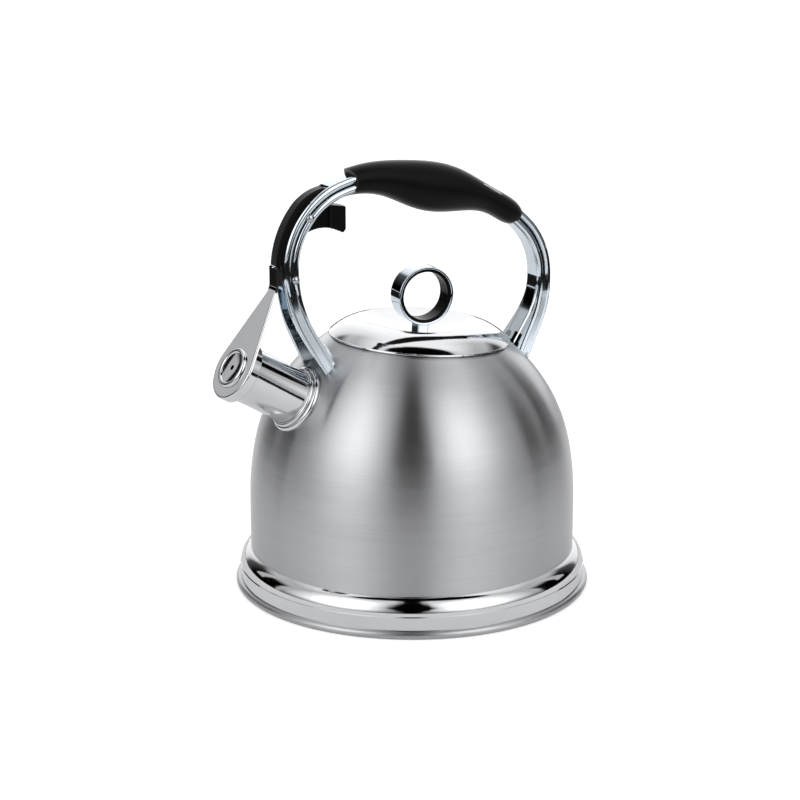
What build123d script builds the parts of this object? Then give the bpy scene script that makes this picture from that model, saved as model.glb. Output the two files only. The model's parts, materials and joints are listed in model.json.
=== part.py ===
from build123d import *
import os
from math import acos, atan2, cos, degrees, hypot, radians, sin, sqrt

# Stovetop whistling kettle.  Millimetres, +Z up, origin on the kettle's axis where it
# stands on the hob.  The spout points along -X and the handle arch lies in the XZ plane.

# ---------------------------------------------------------------- driving dimensions
# vessel
sheet = 0.8                    # stainless sheet of the body, pan, skirt and lid
body_radius = 99.6             # outside of the straight wall
shoulder_start_z = 55.6        # where the straight wall starts to lean in
shoulder_arc_radius = 179.0
shoulder_turn = 10.8           # degrees turned by the shoulder arc
crown_arc_radius = 101.5
wall_foot_z = 12.0             # lower edge of the body wall, inside the skirt
neck_radius = 51.6             # bore of the filler mouth
neck_depth = 7.0
mouth_setback = 5.3            # the mouth's centre stands back from the spout

# base
rim_overhang = 9.4             # rolled rim beyond the body's wall
rim_height = 5.2
cap_sheet = 0.8
core_margin = 6.6              # core short of the body's wall
core_thickness = 4.2
pan_corner_radius = 9.0
pan_lap_top_z = 22.0           # the pan's wall laps this far up inside the body wall
skirt_overhang = 6.8           # skirt beyond the body's wall
skirt_crease_z = 13.5
skirt_top_z = 23.7
crease_depth = 0.5

# spout
spout_root_z = 127.0
spout_pitch = 31.0             # degrees above the horizontal
spout_bore_radius = 15.6
spout_wall = 1.2
spout_waist = 0.4              # how far the tube draws in between its ends
spout_root_run = 9.0           # tube inside the collar and the body's wall
mouth_lip = 0.7
cap_face_reach = 47.2          # from the spout's root to the face of the whistle cap
collar_bead = 2.0

# whistle cap on the end of the lever arm
plate_thickness = 1.5
plate_edge = 1.2               # rounding along the paddle's front edge
cap_clearance = 1.0            # round the lip of the spout, inside the cap's skirt
cap_skirt_depth = 5.0
cap_sheet_wall = 0.8
cap_seat_gap = 0.3
boss_radius = 12.4
boss_height = 1.9
boss_beading = 3.2
boss_dish = 0.6                # sheet left at the middle of the dished face
whistle_hole_radius = 1.6
chamber_radius = 8.0

# handle arch
handle_width = 14.0
handle_depth = 10.0
bead_depth = 4.7               # each of the two rounded beads on a side
bead_proud = 1.0               # how far the beads stand out from the core
front_foot_margin = 12.4       # front foot beyond the filler mouth
front_lean = 29.0              # degrees from upright at the foot
front_leg_run = 21.0
front_leg_arc = 85.0
rear_foot_margin = 20.6        # rear foot beyond the filler mouth
rear_lean = 33.0
rear_leg_run = 21.0
rear_leg_arc = 50.4
shoulder_arc = 47.0
front_shoulder_turn = 73.0
rear_shoulder_turn = 45.0
flare_half_width = 13.5        # half width of a foot where it meets the dome
front_flare_rise = 78.0        # height over which each foot widens
rear_flare_rise = 63.0
flare_depth = 8.8
facet_inset = 1.3              # the inner lip stands back from the flared facet
lip_depth = 1.8
channel_wall = 2.1
channel_web = 2.1
channel_skin = 1.5
bracket_thickness = 2.5
bracket_width = 11.0
bracket_height = 10.0
bracket_foot = 1.0
screw_radius = 1.8
screw_head_radius = 3.0
screw_grip = 7.0

# grip: sections from front to rear, each a place on the grip's own centre line
grip_sections = (              # x, z, slope in degrees, half height, half width
    (-49.5, 252.8, 17.0, 7.9, 8.7),
    (-34.0, 254.6, 6.0, 8.9, 9.2),
    (-6.0, 250.3, -8.0, 13.0, 11.6),
    (14.0, 245.4, -14.0, 15.0, 12.5),
    (36.0, 240.2, -16.0, 11.8, 11.0),
    (55.5, 232.6, -24.0, 8.0, 9.2),
    (70.3, 223.4, -38.0, 7.0, 8.8),
    (72.2, 221.8, -42.0, 6.0, 7.9),
)
grip_notch_radius = 9.0
grip_notch_at = (-50.5, 254.4)

# lever and trigger
pin_radius = 1.6
pin_head_radius = 2.35
pin_head_height = 1.2
running_clearance = 0.08
side_clearance = 0.4
lever_pin_height = 5.5         # lever pin below the level of the shoulder's centre
lever_pin_inset = 2.0          # inwards of the arch's centre line
trigger_pin_angle = 41.0
trigger_pin_inset = 1.0
link_angle = 14.5
link_outset = 0.5
link_pin_radius = 1.2
link_clearance = 0.25
lever_range = 8.0
trigger_range = 7.4
ear_radius = 2.9
arm_flange = 0.8
arm_reach = 50.0               # from the spout's axis to the foot of the arm's bend
arm_bend = 9.0
arm_web_length = 9.5
cover_proud = 4.2              # cover above the rim of the handle's channel
cover_tip_proud = 0.8
cover_skin = 2.0
cover_tip_angle = 62.5
cover_low_angle = 3.5
tip_notch = 2.8
tip_pocket = 7.4               # hidden pocket that the cover's tip dives into
slot_low_angle = 11.0          # lower end of the slot through the channel's web
slot_high_angle = 70.0
cheek_gap = 4.8                # between the cover's two cheeks
cheek_low_angle = 6.5
cheek_high_angle = 22.0
trigger_thickness = 4.2
trigger_hub_radius = 3.2
pad_width = 9.0
pad_reach = 24.6               # trigger pin to the far edge of the finger pad
pad_near = 15.2                # trigger pin to the near edge of the pad
pad_rise = 6.1                 # top of the pad above the trigger pin
pad_fall = 9.2                 # bottom of the pad's far edge below the pin
pad_hook = 1.9                 # the pad's lower corner curls this much further down
trigger_waist = 7.5            # underside below the pin, halfway along
spring_wire = 0.8
spring_turns = 3
spring_pitch = 0.95

# lid
lid_lap = 3.9                  # lid's edge beyond the filler mouth
lid_rim_gap = 0.4              # lid rim above the dome
lid_rim_height = 1.3
lid_ridge_radius = 37.5
lid_ridge_rise = 10.2          # ridge above the lid's rim
lid_turn = -6.2                # degrees that the loose lid stands turned in its seat
lid_dish_depth = 7.6
lid_annulus_crown = 1.6
collar_clearance = 0.7
collar_depth = 9.0
knob_outer_radius = 18.0
knob_length = 13.4
knob_shell_wall = 1.6
knob_liner_wall = 1.7
post_width = 7.0
post_length = 10.0
post_height = 5.2
post_roof = 1.0                # left over the screw's end
screw_slot = 0.9
washer_radius = 6.5
washer_thickness = 1.0
lid_screw_radius = 2.0
lid_screw_head_radius = 3.8
lid_screw_head_height = 2.6

os.makedirs("parts", exist_ok=True)


def save(piece, label):
    """Give a finished piece its label and write it as parts/<label>.step."""
    piece.part.label = label
    export_step(piece.part, f"parts/{label}.step")


def polar(centre, radius, angle):
    """The point of the XZ plane at a radius and an angle (degrees from +X) about a centre."""
    return (centre[0] + radius * cos(radians(angle)), centre[1] + radius * sin(radians(angle)))


# ---------------------------------------------------------------- vessel outline
shoulder_centre = (body_radius - shoulder_arc_radius, shoulder_start_z)
shoulder_end = polar(shoulder_centre, shoulder_arc_radius, shoulder_turn)
crown_centre = polar(shoulder_end, -crown_arc_radius, shoulder_turn)


def dome_height(radius, inset=0.0):
    """Height of the dome's surface, moved inwards by inset, at a distance from the axis."""
    reach = radius - crown_centre[0]
    return crown_centre[1] + sqrt((crown_arc_radius - inset) ** 2 - reach**2)


def dome_radius(height):
    """Distance from the axis of the dome's outside at a height above the shoulder arc."""
    rise = height - crown_centre[1]
    return crown_centre[0] + sqrt(crown_arc_radius**2 - rise**2)


def dome_section(inset, foot_z):
    """Closed half section of the space inside the vessel's outside, moved in by inset."""
    shoulder_radius = shoulder_arc_radius - inset
    crown_radius = crown_arc_radius - inset
    shoulder_top = polar(shoulder_centre, shoulder_radius, shoulder_turn)
    top_angle = degrees(atan2(dome_height(0, inset) - crown_centre[1], -crown_centre[0]))
    apex = (0, dome_height(0, inset))
    with BuildSketch(Plane.XZ) as section:
        with BuildLine():
            Line((0, foot_z), (body_radius - inset, foot_z))
            Line((body_radius - inset, foot_z), (body_radius - inset, shoulder_start_z))
            ThreePointArc(
                (body_radius - inset, shoulder_start_z),
                polar(shoulder_centre, shoulder_radius, shoulder_turn / 2),
                shoulder_top,
            )
            ThreePointArc(
                shoulder_top,
                polar(crown_centre, crown_radius, (shoulder_turn + top_angle) / 2),
                apex,
            )
            Line(apex, (0, foot_z))
        make_face()
    return section.sketch


with BuildPart() as vessel_space:
    revolve(dome_section(0, 0), Axis.Z)

with BuildPart() as vessel_inside:
    revolve(dome_section(sheet, 0), Axis.Z)

# ---------------------------------------------------------------- spout axis
spout_root = (-dome_radius(spout_root_z), spout_root_z)
spout_dir = (-cos(radians(spout_pitch)), sin(radians(spout_pitch)))
plate_dir = (sin(radians(spout_pitch)), cos(radians(spout_pitch)))
spout_section_plane = Plane(
    origin=(spout_root[0], 0, spout_root[1]),
    x_dir=(spout_dir[0], 0, spout_dir[1]),
    z_dir=(0, 1, 0),
)
spout_axis = Axis((spout_root[0], 0, spout_root[1]), (spout_dir[0], 0, spout_dir[1]))
spout_outer_radius = spout_bore_radius + spout_wall
cap_radius = spout_outer_radius + mouth_lip + cap_clearance + cap_sheet_wall


def spout_cross_plane(reach):
    """Plane square to the spout at a distance from its root, local X across the kettle."""
    return Plane(
        origin=(spout_root[0] + reach * spout_dir[0], 0, spout_root[1] + reach * spout_dir[1]),
        x_dir=(0, -1, 0),
        z_dir=(spout_dir[0], 0, spout_dir[1]),
    )


# ---------------------------------------------------------------- filler mouth
# The mouth and the lid share one axis, square to the dome behind the kettle's own axis.
lid_radius = neck_radius + lid_lap
rim_bead = lid_rim_height / 2
rim_seat = lid_radius - rim_bead
seat_rise = lid_rim_gap + rim_bead
front_seat_z = dome_height(rim_seat - mouth_setback, -seat_rise)
rear_seat_z = dome_height(rim_seat + mouth_setback, -seat_rise)
mouth_lean = atan2(front_seat_z - rear_seat_z, 2 * rim_seat)
mouth_centre = (mouth_setback, (front_seat_z + rear_seat_z) / 2)
mouth_frame = Plane(
    origin=(mouth_centre[0], 0, mouth_centre[1]),
    x_dir=(cos(mouth_lean), 0, -sin(mouth_lean)),
    z_dir=(sin(mouth_lean), 0, cos(mouth_lean)),
)
mouth_axis = Axis(mouth_frame.origin, mouth_frame.z_dir)
mouth_side = Plane(mouth_frame.origin, x_dir=mouth_frame.x_dir, z_dir=-mouth_frame.y_dir)
crown_across = crown_centre[0] - mouth_centre[0]
crown_down = crown_centre[1] - mouth_centre[1]
crown_in_mouth = (
    crown_across * cos(mouth_lean) - crown_down * sin(mouth_lean),
    crown_across * sin(mouth_lean) + crown_down * cos(mouth_lean),
)


def mouth_height(radius):
    """Height of the dome over the mouth's own frame at a distance from the mouth's axis."""
    reach = radius - crown_in_mouth[0]
    return crown_in_mouth[1] + sqrt(crown_arc_radius**2 - reach**2)


# ---------------------------------------------------------------- body and base
neck_top = mouth_height(neck_radius) - sheet / 4
neck_outer = neck_radius + sheet
rim_radius = body_radius + rim_overhang
skirt_radius = body_radius + skirt_overhang
core_radius = body_radius - core_margin

with BuildPart() as body_shell:
    with BuildSketch(Plane.XZ):
        add(dome_section(0, wall_foot_z))
    revolve(axis=Axis.Z)
    with BuildSketch(Plane.XZ):
        add(dome_section(sheet, 0))
    revolve(axis=Axis.Z, mode=Mode.SUBTRACT)
    with BuildSketch(mouth_frame.offset(neck_top - neck_depth)):
        Circle(neck_radius + sheet / 2)
    extrude(amount=body_radius, mode=Mode.SUBTRACT)
    with BuildSketch(mouth_side):
        with BuildLine():
            Polyline(
                (neck_radius, neck_top - 2 * sheet),
                (neck_radius, neck_top - neck_depth),
                (neck_outer, neck_top - neck_depth),
                (neck_outer, mouth_height(neck_outer) - sheet / 4),
            )
            TangentArc(
                (neck_radius, neck_top - 2 * sheet),
                (neck_outer, mouth_height(neck_outer) - sheet / 4),
                tangent=(0, 1),
            )
        make_face()
    revolve(axis=mouth_axis)
    with BuildSketch(spout_cross_plane(-spout_root_run)):
        Circle(spout_outer_radius)
    extrude(amount=2 * spout_root_run, mode=Mode.SUBTRACT)
save(body_shell, "body_shell")

pan_floor_z = cap_sheet + core_thickness
pan_radius = body_radius - sheet

with BuildPart() as base_pan:
    for inset, mode in ((0, Mode.ADD), (sheet, Mode.SUBTRACT)):
        corner = pan_corner_radius - inset
        with BuildSketch(Plane.XZ):
            with BuildLine():
                Line((0, pan_floor_z + inset), (pan_radius - inset - corner, pan_floor_z + inset))
                JernArc((pan_radius - inset - corner, pan_floor_z + inset), (1, 0), corner, 90)
                Polyline(
                    (pan_radius - inset, pan_floor_z + inset + corner),
                    (pan_radius - inset, pan_lap_top_z),
                    (0, pan_lap_top_z),
                    (0, pan_floor_z + inset),
                )
            make_face()
        revolve(axis=Axis.Z, mode=mode)
save(base_pan, "base_pan")

with BuildPart() as base_core:
    with BuildSketch(Plane.XY.offset(cap_sheet)):
        Circle(core_radius)
    extrude(amount=core_thickness)
    chamfer(base_core.edges(), core_thickness / 8)
save(base_core, "base_core")

rim_centre = (rim_radius - rim_height / 2, rim_height / 2)
with BuildPart() as base_cap:
    with BuildSketch(Plane.XZ):
        with BuildLine():
            Line((0, 0), (rim_centre[0], 0))
            ThreePointArc((rim_centre[0], 0), (rim_radius, rim_centre[1]), (rim_centre[0], rim_height))
            Polyline(
                (rim_centre[0], rim_height),
                (rim_centre[0] - 2 * cap_sheet, rim_height),
                (rim_centre[0] - 2 * cap_sheet, cap_sheet),
                (0, cap_sheet),
                (0, 0),
            )
        make_face()
    revolve(axis=Axis.Z)
save(base_cap, "base_cap")

with BuildPart() as base_skirt:
    with BuildSketch(Plane.XZ):
        with BuildLine():
            Line((skirt_radius, rim_height), (skirt_radius, skirt_crease_z - crease_depth))
            Line(
                (skirt_radius, skirt_crease_z - crease_depth),
                (skirt_radius - crease_depth, skirt_crease_z),
            )
            roll = TangentArc(
                (skirt_radius - crease_depth, skirt_crease_z),
                (body_radius, skirt_top_z),
                tangent=(0, 1),
            )
            inner_roll = TangentArc(
                (skirt_radius - crease_depth - sheet, skirt_crease_z),
                (body_radius, skirt_top_z - 1.25 * sheet),
                tangent=(0, 1),
            )
            Line(roll @ 1, inner_roll @ 1)
            Line(
                (skirt_radius - crease_depth - sheet, skirt_crease_z),
                (skirt_radius - crease_depth - sheet, rim_height),
            )
            Line(
                (skirt_radius - crease_depth - sheet, rim_height),
                (skirt_radius, rim_height),
            )
        make_face()
    revolve(axis=Axis.Z)
save(base_skirt, "base_skirt")

# ---------------------------------------------------------------- spout
tube_end = cap_face_reach - plate_thickness - cap_sheet_wall - cap_seat_gap

with BuildPart() as spout_tube:
    with BuildSketch(spout_section_plane):
        with BuildLine():
            Line((-spout_root_run, spout_bore_radius), (-spout_root_run, spout_outer_radius))
            Line((-spout_root_run, spout_outer_radius), (collar_bead * 2, spout_outer_radius))
            ThreePointArc(
                (collar_bead * 2, spout_outer_radius),
                (tube_end / 2, spout_outer_radius - spout_waist),
                (tube_end - 3 * mouth_lip, spout_outer_radius),
            )
            ThreePointArc(
                (tube_end - 3 * mouth_lip, spout_outer_radius),
                (tube_end - mouth_lip, spout_outer_radius + mouth_lip),
                (tube_end, spout_outer_radius),
            )
            Line((tube_end, spout_outer_radius), (tube_end, spout_bore_radius))
            ThreePointArc(
                (tube_end, spout_bore_radius),
                (tube_end / 2, spout_bore_radius - spout_waist),
                (collar_bead * 2, spout_bore_radius),
            )
            Line((collar_bead * 2, spout_bore_radius), (-spout_root_run, spout_bore_radius))
        make_face()
    revolve(axis=spout_axis)
    add(vessel_inside.part, mode=Mode.SUBTRACT)
save(spout_tube, "spout_tube")

with BuildPart() as spout_collar:
    with BuildSketch(spout_section_plane):
        with Locations((-collar_bead / 2, spout_outer_radius + 0.9 * collar_bead)):
            Circle(collar_bead)
        with Locations((collar_bead, spout_outer_radius + 0.4 * collar_bead)):
            Circle(0.6 * collar_bead)
        with Locations((-collar_bead, spout_outer_radius + collar_bead / 2)):
            Rectangle(3 * collar_bead, collar_bead)
    revolve(axis=spout_axis)
    with BuildSketch(spout_cross_plane(-spout_root_run)):
        Circle(spout_outer_radius)
    extrude(amount=3 * spout_root_run, mode=Mode.SUBTRACT)
    add(vessel_space.part, mode=Mode.SUBTRACT)
save(spout_collar, "spout_collar")

# ---------------------------------------------------------------- handle centre line
front_foot_radius = neck_radius + front_foot_margin
rear_foot_radius = neck_radius + rear_foot_margin
front_foot = (-front_foot_radius, dome_height(front_foot_radius))
rear_foot = (rear_foot_radius, dome_height(rear_foot_radius))
front_up = (-sin(radians(front_lean)), cos(radians(front_lean)))
rear_up = (sin(radians(rear_lean)), cos(radians(rear_lean)))
foot_tail = 1.3 * handle_depth     # the legs run on into the dome, which trims them


def along(start, direction, distance):
    """The point at a distance from a start along a unit direction."""
    return (start[0] + distance * direction[0], start[1] + distance * direction[1])


def outwards_front(point, shift):
    """A point of the straight front leg moved outwards, square to the leg."""
    return (point[0] - shift * front_up[1], point[1] + shift * front_up[0])


def outwards_rear(point, shift):
    """A point of the straight rear leg moved outwards, square to the leg."""
    return (point[0] + shift * rear_up[1], point[1] - shift * rear_up[0])


def front_leg(shift, turn=front_shoulder_turn):
    """The front leg's line from inside the dome to the crown, moved outwards by shift."""
    start = outwards_front(along(front_foot, front_up, -foot_tail), shift)
    knee = outwards_front(along(front_foot, front_up, front_leg_run), shift)
    run = Line(start, knee)
    lower = JernArc(run @ 1, run % 1, front_leg_arc + shift, -front_lean)
    upper = JernArc(lower @ 1, lower % 1, shoulder_arc + shift, -turn)
    return [run, lower, upper]


def rear_leg(shift):
    """The rear leg's line from inside the dome to the crown, moved outwards by shift."""
    start = outwards_rear(along(rear_foot, rear_up, -foot_tail), shift)
    knee = outwards_rear(along(rear_foot, rear_up, rear_leg_run), shift)
    run = Line(start, knee)
    lower = JernArc(run @ 1, run % 1, rear_leg_arc + shift, rear_lean)
    upper = JernArc(lower @ 1, lower % 1, shoulder_arc + shift, rear_shoulder_turn)
    return [run, lower, upper]


front_knee = along(front_foot, front_up, front_leg_run)
leg_arc_centre = outwards_front(front_knee, -front_leg_arc)
shoulder_hub = (leg_arc_centre[0] - front_leg_arc + shoulder_arc, leg_arc_centre[1])


def on_shoulder(angle, shift):
    """Point of the front shoulder, angle above the level of its centre, moved outwards."""
    return polar(shoulder_hub, shoulder_arc + shift, 180 - angle)


def shoulder_band(shift, low_angle, high_angle):
    """Line along the front leg, from low_angle down its lower arc to high_angle up."""
    start = polar(leg_arc_centre, front_leg_arc + shift, 180 + low_angle)
    heading = (-sin(radians(low_angle)), cos(radians(low_angle)))
    lower = JernArc(start, heading, front_leg_arc + shift, -low_angle)
    return [lower, JernArc(lower @ 1, lower % 1, shoulder_arc + shift, -high_angle)]


def flared_outline(half_top, half_foot, foot_z, rise, straight):
    """Front view of a foot: straight above, widening in one arc down to the dome."""
    top_z = foot_z + rise + straight
    with BuildSketch() as outline:
        with BuildLine():
            Line((0, top_z), (half_top, top_z))
            Line((half_top, top_z), (half_top, foot_z + rise))
            TangentArc((half_top, foot_z + rise), (half_foot, foot_z), tangent=(0, -1))
            Line((half_foot, foot_z), (half_foot, foot_z - 2 * foot_tail))
            Line((half_foot, foot_z - 2 * foot_tail), (0, foot_z - 2 * foot_tail))
            Line((0, foot_z - 2 * foot_tail), (0, top_z))
        make_face()
        mirror(about=Plane.YZ)
    return outline.sketch


half_depth = handle_depth / 2
arm_width = handle_width - 2 * channel_wall - 2 * side_clearance
core_half_width = handle_width / 2 - bead_proud
channel_half_width = handle_width / 2 - channel_wall
channel_floor = channel_web - half_depth
channel_reach = 3 * half_depth
lever_pin = polar(
    leg_arc_centre,
    front_leg_arc - lever_pin_inset,
    180 + degrees(lever_pin_height / front_leg_arc),
)
trigger_pin = on_shoulder(trigger_pin_angle, -trigger_pin_inset)
link_pin_at = on_shoulder(link_angle, link_outset)


def turned(point, centre, angle):
    """A point of the XZ plane turned about a centre by an angle, towards +Z from +X."""
    reach = hypot(point[0] - centre[0], point[1] - centre[1])
    heading = degrees(atan2(point[1] - centre[1], point[0] - centre[0]))
    return polar(centre, reach, heading + angle)


# ---------------------------------------------------------------- brackets and screws
screw_rise = 0.62 * bracket_height


def bracket_screw(foot, up, outwards):
    """Countersunk screw through a bracket into a foot, square to the leg."""
    centre = outwards(along(foot, up, screw_rise), -half_depth - bracket_thickness)
    normal = outwards((0, 0), 1)
    with BuildPart() as screw:
        with BuildSketch(Plane(origin=(centre[0], 0, centre[1]), z_dir=(normal[0], 0, normal[1]))):
            Circle(screw_head_radius)
        extrude(amount=screw_head_radius - screw_radius, taper=45)
        with BuildSketch(Plane(origin=(centre[0], 0, centre[1]), z_dir=(normal[0], 0, normal[1]))):
            Circle(screw_radius)
        extrude(amount=screw_grip)
    return screw.part


with BuildPart() as bracket_screws:
    add(bracket_screw(front_foot, front_up, outwards_front))
    add(bracket_screw(rear_foot, rear_up, outwards_rear))
save(bracket_screws, "bracket_screws")

with BuildPart() as near_dome:
    revolve(dome_section(-bracket_thickness, 0), Axis.Z)

with BuildPart() as front_bracket:
    with BuildSketch(Plane.XZ):
        with BuildLine():
            Line(
                outwards_front(along(front_foot, front_up, -foot_tail), -half_depth - bracket_thickness / 2),
                outwards_front(along(front_foot, front_up, bracket_height), -half_depth - bracket_thickness / 2),
            )
        trace(line_width=bracket_thickness)
    extrude(amount=bracket_width / 2, both=True)
    add(vessel_space.part, mode=Mode.SUBTRACT)
    add(bracket_screws.part, mode=Mode.SUBTRACT)
save(front_bracket, "front_bracket")

rear_tab_foot = outwards_rear(rear_foot, -half_depth - bracket_thickness)
with BuildPart() as rear_bracket:
    with BuildSketch(Plane.XY.offset(rear_foot[1] - foot_tail)):
        with Locations((rear_tab_foot[0] - bracket_foot / 2, 0)):
            Rectangle(bracket_foot + 2 * bracket_thickness, bracket_width)
    extrude(amount=3 * foot_tail)
    add(near_dome.part, mode=Mode.INTERSECT)
    with BuildSketch(Plane.XZ):
        with BuildLine():
            Line(
                outwards_rear(along(rear_foot, rear_up, -foot_tail), -half_depth - bracket_thickness / 2),
                outwards_rear(along(rear_foot, rear_up, bracket_height), -half_depth - bracket_thickness / 2),
            )
        trace(line_width=bracket_thickness)
    extrude(amount=bracket_width / 2, both=True)
    with BuildSketch(Plane.XZ):
        with BuildLine():
            rear_leg(0)
        trace(line_width=handle_depth)
    extrude(amount=handle_width, both=True, mode=Mode.SUBTRACT)
    add(vessel_space.part, mode=Mode.SUBTRACT)
    add(bracket_screws.part, mode=Mode.SUBTRACT)
save(rear_bracket, "rear_bracket")

# ---------------------------------------------------------------- handle arch
rear_knee = along(rear_foot, rear_up, rear_leg_run)
rear_arc_centre = outwards_rear(rear_knee, -rear_leg_arc)
rear_hub = (rear_arc_centre[0] + rear_leg_arc - shoulder_arc, rear_arc_centre[1])
crown_from = polar(shoulder_hub, shoulder_arc, 180 - front_shoulder_turn)
crown_to = polar(rear_hub, shoulder_arc, rear_shoulder_turn)
crown_span = (crown_to[0] - crown_from[0], crown_to[1] - crown_from[1])
crown_slopes = [
    radians(90 - front_shoulder_turn),
    radians((rear_shoulder_turn - front_shoulder_turn) / 2),
    radians(rear_shoulder_turn - 90),
]


def crown_step(start, end):
    """Way covered across and up by a clockwise arc of unit radius between two slopes."""
    return (sin(start) - sin(end), cos(end) - cos(start))


# two arcs that meet in one tangent make the crown: their radii follow from its span
front_step = crown_step(*crown_slopes[:2])
rear_step = crown_step(*crown_slopes[1:])
crown_area = front_step[0] * rear_step[1] - front_step[1] * rear_step[0]
front_crown_arc = (crown_span[0] * rear_step[1] - crown_span[1] * rear_step[0]) / crown_area
rear_crown_arc = (front_step[0] * crown_span[1] - front_step[1] * crown_span[0]) / crown_area
crown_turn = degrees(crown_slopes[0] - crown_slopes[1])

with BuildSketch() as arch_section:
    Rectangle(2 * core_half_width, handle_depth - bead_depth)
    with GridLocations(1, handle_depth - bead_depth, 1, 2):
        SlotOverall(handle_width, bead_depth)


def arch_plane(at, heading):
    """Plane across the arch at a point of its centre line, local X across the kettle."""
    return Plane(
        origin=(at[0], 0, at[1]),
        x_dir=(0, 1, 0),
        z_dir=(cos(radians(heading)), 0, sin(radians(heading))),
    )


with BuildPart() as arch_bar:
    at, heading = along(front_foot, front_up, -foot_tail), 90 + front_lean
    with BuildSketch(arch_plane(at, heading)):
        add(arch_section.sketch)
    extrude(amount=foot_tail + front_leg_run)
    at = front_knee
    for radius, turn in (
        (front_leg_arc, front_lean),
        (shoulder_arc, front_shoulder_turn),
        (front_crown_arc, crown_turn),
        (rear_crown_arc, crown_turn),
        (shoulder_arc, rear_shoulder_turn),
        (rear_leg_arc, rear_lean),
    ):
        centre = polar(at, radius, heading - 90)
        with BuildSketch(arch_plane(at, heading)):
            add(arch_section.sketch)
        revolve(axis=Axis((centre[0], 0, centre[1]), (0, 1, 0)), revolution_arc=turn)
        heading -= turn
        at = polar(centre, radius, heading + 90)
    with BuildSketch(arch_plane(at, heading)):
        add(arch_section.sketch)
    extrude(amount=foot_tail + rear_leg_run)


def flared_leg(leg, foot_z, rise, depth, shift, stand_back):
    """One foot of the arch, widening down to the dome, over part of the arch's depth."""
    with BuildPart() as flare:
        with BuildSketch(Plane.XZ):
            with BuildLine():
                leg(shift)
            trace(line_width=depth)
        extrude(amount=2 * flare_half_width, both=True)
        with BuildSketch(Plane.YZ):
            add(
                flared_outline(
                    core_half_width - bead_proud / 2 - stand_back / 2,
                    flare_half_width - stand_back,
                    foot_z,
                    rise,
                    handle_depth,
                )
            )
        extrude(amount=2 * body_radius, both=True, mode=Mode.INTERSECT)
    return flare.part


with BuildPart() as front_channel:
    with BuildSketch(Plane.XZ):
        with BuildLine():
            front_leg(
                channel_floor + channel_reach / 2,
                cover_tip_angle + degrees(tip_notch / shoulder_arc),
            )
        trace(line_width=channel_reach)
    extrude(amount=2 * flare_half_width, both=True)
    with BuildSketch(Plane.YZ):
        add(
            flared_outline(
                channel_half_width,
                flare_half_width - channel_wall,
                front_foot[1],
                front_flare_rise / 2,
                2 * shoulder_arc,
            )
        )
    extrude(amount=2 * body_radius, both=True, mode=Mode.INTERSECT)

with BuildPart() as handle_frame:
    add(arch_bar.part)
    for leg, foot_z, rise in (
        (front_leg, front_foot[1], front_flare_rise),
        (rear_leg, rear_foot[1], rear_flare_rise),
    ):
        add(flared_leg(leg, foot_z, rise, flare_depth - lip_depth, lip_depth / 2, 0))
        add(flared_leg(leg, foot_z, rise, lip_depth, (lip_depth - flare_depth) / 2, facet_inset))
    add(front_channel.part, mode=Mode.SUBTRACT)
    # threaded boss for the bracket screw, on the channel's floor
    boss_at = outwards_front(along(front_foot, front_up, screw_rise), channel_floor)
    with BuildSketch(
        Plane(origin=(boss_at[0], 0, boss_at[1]), z_dir=(-front_up[1], 0, front_up[0]))
    ):
        Circle(2 * screw_radius)
    extrude(amount=screw_grip - bracket_thickness - channel_web + 1)
    # slot through the web for the trigger and the lever's ears
    with BuildSketch(Plane.XZ):
        with BuildLine():
            shoulder_band(-half_depth, slot_low_angle, slot_high_angle)
        trace(line_width=2 * channel_web + 1)
    extrude(amount=channel_half_width, both=True, mode=Mode.SUBTRACT)
    # pocket under the crown's skin that the cover's tip dives into
    with BuildSketch(Plane.XZ):
        with BuildLine():
            shoulder_band(
                (channel_floor + half_depth - channel_skin) / 2,
                1.0,
                cover_tip_angle + degrees(tip_pocket / shoulder_arc),
            )
        trace(line_width=half_depth - channel_skin - channel_floor)
    extrude(amount=channel_half_width, both=True, mode=Mode.SUBTRACT)
    # pin holes
    with BuildSketch(Plane.XZ):
        with Locations(lever_pin, trigger_pin):
            Circle(pin_radius)
    extrude(amount=handle_width, both=True, mode=Mode.SUBTRACT)
    add(bracket_screws.part, mode=Mode.SUBTRACT)
    add(vessel_space.part, mode=Mode.SUBTRACT)
save(handle_frame, "handle_frame")

# ---------------------------------------------------------------- grip
with BuildPart() as grip:
    for at_x, at_z, slope, half_height, half_width in grip_sections:
        section_plane = Plane(
            origin=(at_x, 0, at_z),
            x_dir=(0, 1, 0),
            z_dir=(cos(radians(slope)), 0, sin(radians(slope))),
        )
        with BuildSketch(section_plane):
            Ellipse(half_width, half_height)
    loft()
    with BuildSketch(Plane.XZ):
        with Locations(grip_notch_at):
            Circle(grip_notch_radius)
    extrude(amount=2 * handle_width, both=True, mode=Mode.SUBTRACT)
    add(arch_bar.part, mode=Mode.SUBTRACT)
save(grip, "grip")


# ---------------------------------------------------------------- pins and link
hub_half_width = arm_width / 2 - arm_flange - running_clearance


def headed_pin(at, label):
    """Pin across the arch with a low domed head on each side."""
    head_plane = Plane(origin=(at[0], 0, at[1]), x_dir=(0, 1, 0), z_dir=(1, 0, 0))
    with BuildPart() as pin:
        with BuildSketch(head_plane):
            with BuildLine():
                Line((0, 0), (0, pin_radius))
                Line((0, pin_radius), (handle_width / 2, pin_radius))
                Line((handle_width / 2, pin_radius), (handle_width / 2, pin_head_radius))
                TangentArc(
                    (handle_width / 2 + pin_head_height, 0),
                    (handle_width / 2, pin_head_radius),
                    tangent=(0, 1),
                )
                Line((handle_width / 2 + pin_head_height, 0), (0, 0))
            make_face()
        revolve(axis=Axis((at[0], 0, at[1]), (0, 1, 0)))
        mirror(about=Plane.XZ)
    save(pin, label)


headed_pin(trigger_pin, "trigger_pin")
headed_pin(lever_pin, "lever_pin")

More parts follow.
